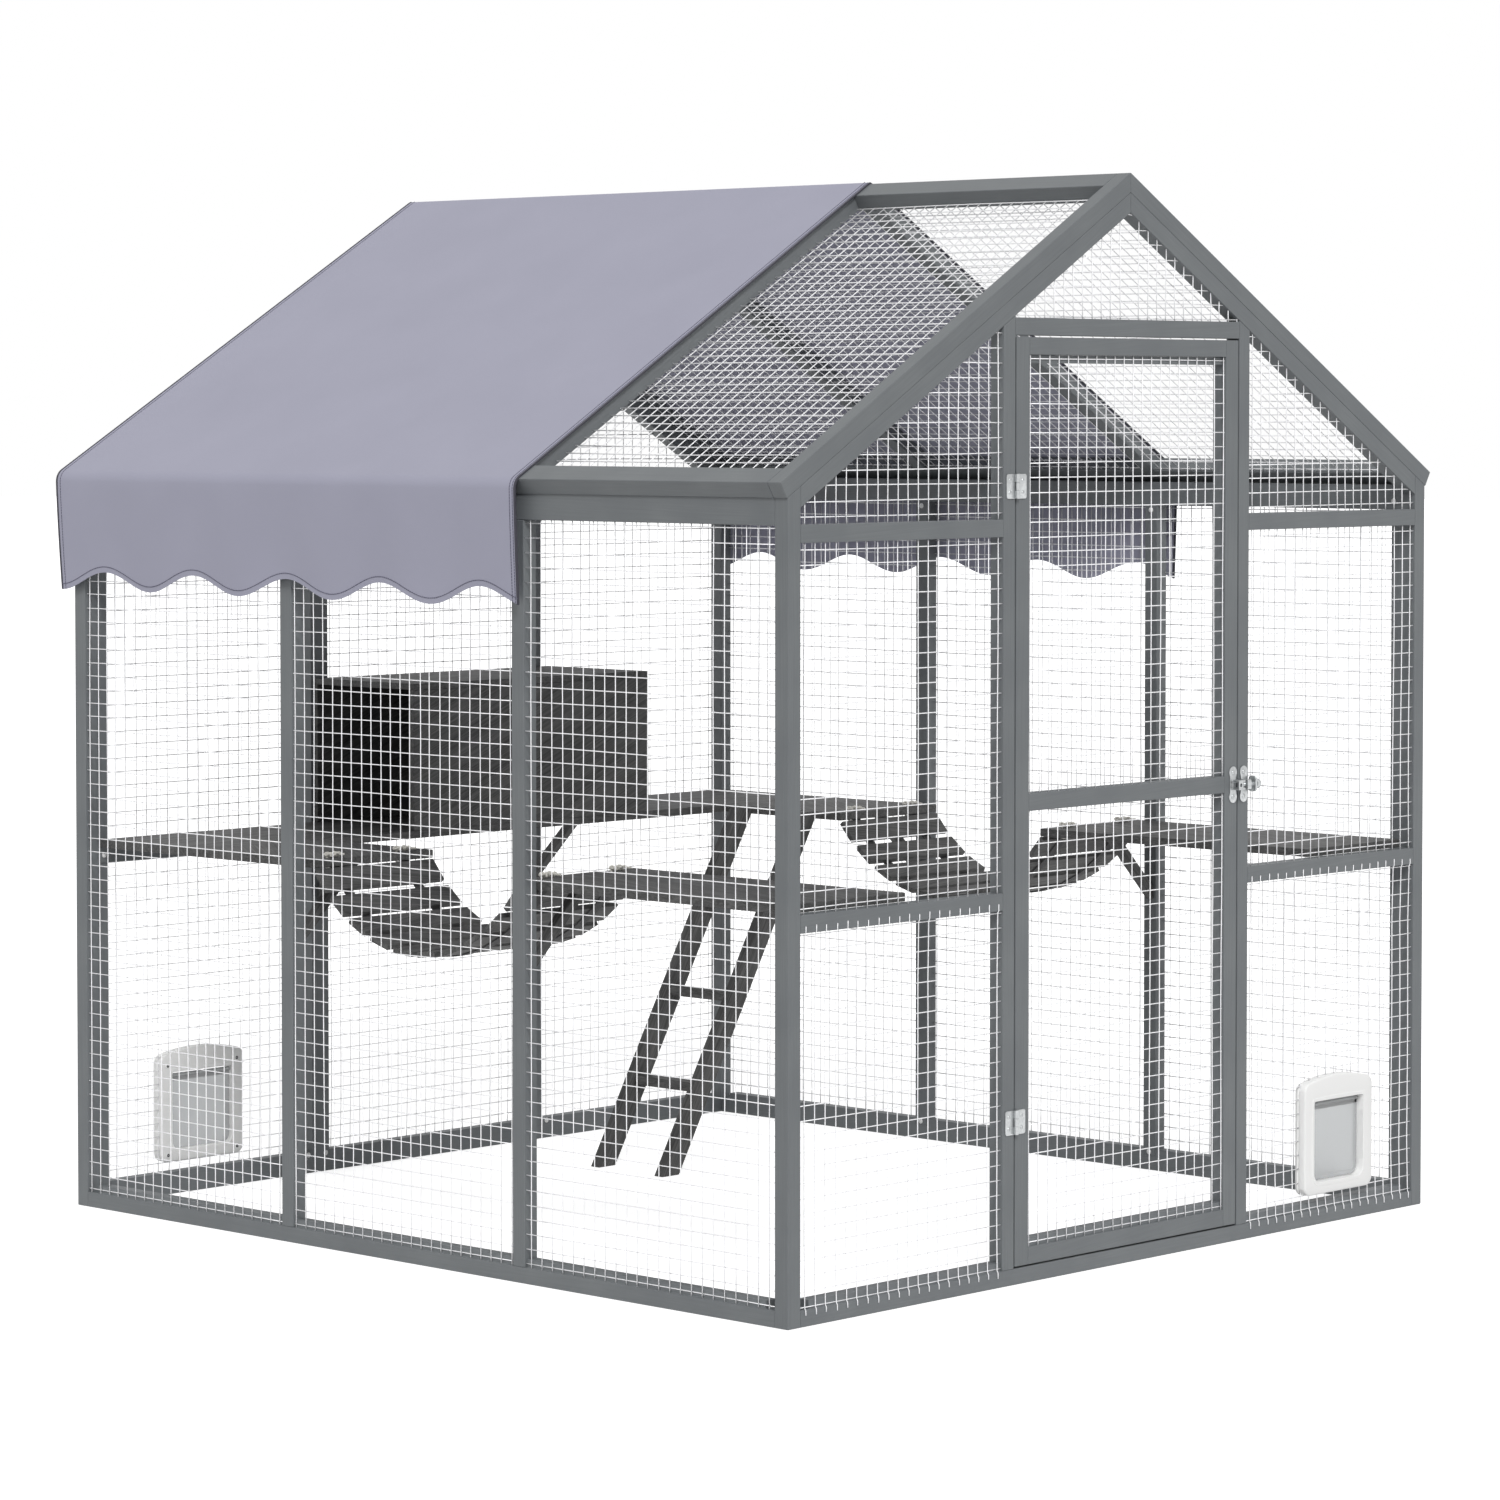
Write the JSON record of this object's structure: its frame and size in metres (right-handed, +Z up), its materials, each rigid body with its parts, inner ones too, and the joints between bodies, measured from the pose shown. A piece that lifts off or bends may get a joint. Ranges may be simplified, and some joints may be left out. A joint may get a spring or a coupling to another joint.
{
  "type": "outdoor cat enclosure",
  "caption": "Walk-in pet enclosure with a gabled timber frame, wire mesh, a latched door, pet flaps, shelves, hanging bridges, a sleeping box, a ladder and a cloth canopy.",
  "frame": {"origin": "middle of the base on the ground", "axes": "+Z up, +Y from the door gable to the rear gable, +X to the right seen from the door"},
  "size_m": [1.8126, 1.871, 1.9127],
  "materials": {
    "frame_paint": "grey painted timber",
    "wire_mesh": "galvanised wire",
    "dark_board": "charcoal painted timber",
    "strap": "woven webbing",
    "rope": "twisted rope",
    "cloth": "woven polyester",
    "white_plastic": "moulded",
    "clear_plastic": "translucent",
    "steel": "zinc plated"
  },
  "bodies": {
    "enclosure": {"corner_posts": "frame_paint", "left_wall_posts": "frame_paint", "left_wall_rails": "frame_paint", "right_wall_posts": "frame_paint", "right_wall_rails": "frame_paint", "front_door_posts": "frame_paint", "front_wall_rails": "frame_paint", "front_gable_battens": "frame_paint", "rear_wall_posts": "frame_paint", "rear_wall_rails": "frame_paint", "rear_gable_battens": "frame_paint", "left_roof_rafters": "frame_paint", "left_roof_rails": "frame_paint", "right_roof_rafters": "frame_paint", "right_roof_rails": "frame_paint", "left_wall_mesh": "wire_mesh", "right_wall_mesh": "wire_mesh", "front_wall_mesh": "wire_mesh", "rear_wall_mesh": "wire_mesh", "left_roof_mesh": "wire_mesh", "right_roof_mesh": "wire_mesh", "front_flap_mesh": "wire_mesh", "rear_flap_mesh": "wire_mesh", "rear_shelf": "dark_board", "left_rear_shelf": "dark_board", "right_rear_shelf": "dark_board", "left_front_shelf": "dark_board", "right_front_shelf": "dark_board", "left_shelf_braces": "dark_board", "right_shelf_braces": "dark_board", "rear_shelf_braces": "dark_board", "left_bridge_slats": "dark_board", "right_bridge_slats": "dark_board", "box_roof": "dark_board", "box_front": "dark_board", "box_back": "dark_board", "box_right_end": "dark_board", "ladder_rails": "dark_board", "ladder_rungs": "dark_board", "bridge_straps": "strap", "bridge_ties": "rope", "canopy": "cloth", "screw_caps": "white_plastic", "post_hinge_leaves": "steel", "hinge_pins": "steel", "latch_body": "steel", "front_flap_frame": "white_plastic", "front_flap_pin": "steel", "rear_flap_frame": "white_plastic", "rear_flap_pin": "steel"},
    "door": {"door_stiles": "frame_paint", "door_rails": "frame_paint", "door_mesh": "wire_mesh", "door_hinge_leaves": "steel", "latch_keeper": "steel"},
    "latch_bolt": {"latch_bolt": "steel"},
    "front_flap": {"front_flap": "clear_plastic"},
    "rear_flap": {"rear_flap": "clear_plastic"}
  },
  "joints": [
    {"name": "door_hinge", "type": "hinge", "parent": "enclosure", "child": "door", "pos_m": [-0.3075, -0.919, 0.82], "axis": [0, 0, -1], "range_deg": [0, 110]},
    {"name": "latch_slide", "type": "slide", "parent": "enclosure", "child": "latch_bolt", "axis": [1, 0, 0], "range_m": [-0.012, 0]},
    {"name": "front_flap_hinge", "type": "hinge", "parent": "enclosure", "child": "front_flap", "pos_m": [0.601, -0.911, 0.223], "axis": [1, 0, 0], "range_deg": [-70, 70]},
    {"name": "rear_flap_hinge", "type": "hinge", "parent": "enclosure", "child": "rear_flap", "pos_m": [-0.579, 0.911, 0.223], "axis": [1, 0, 0], "range_deg": [-70, 70]}
  ]
}
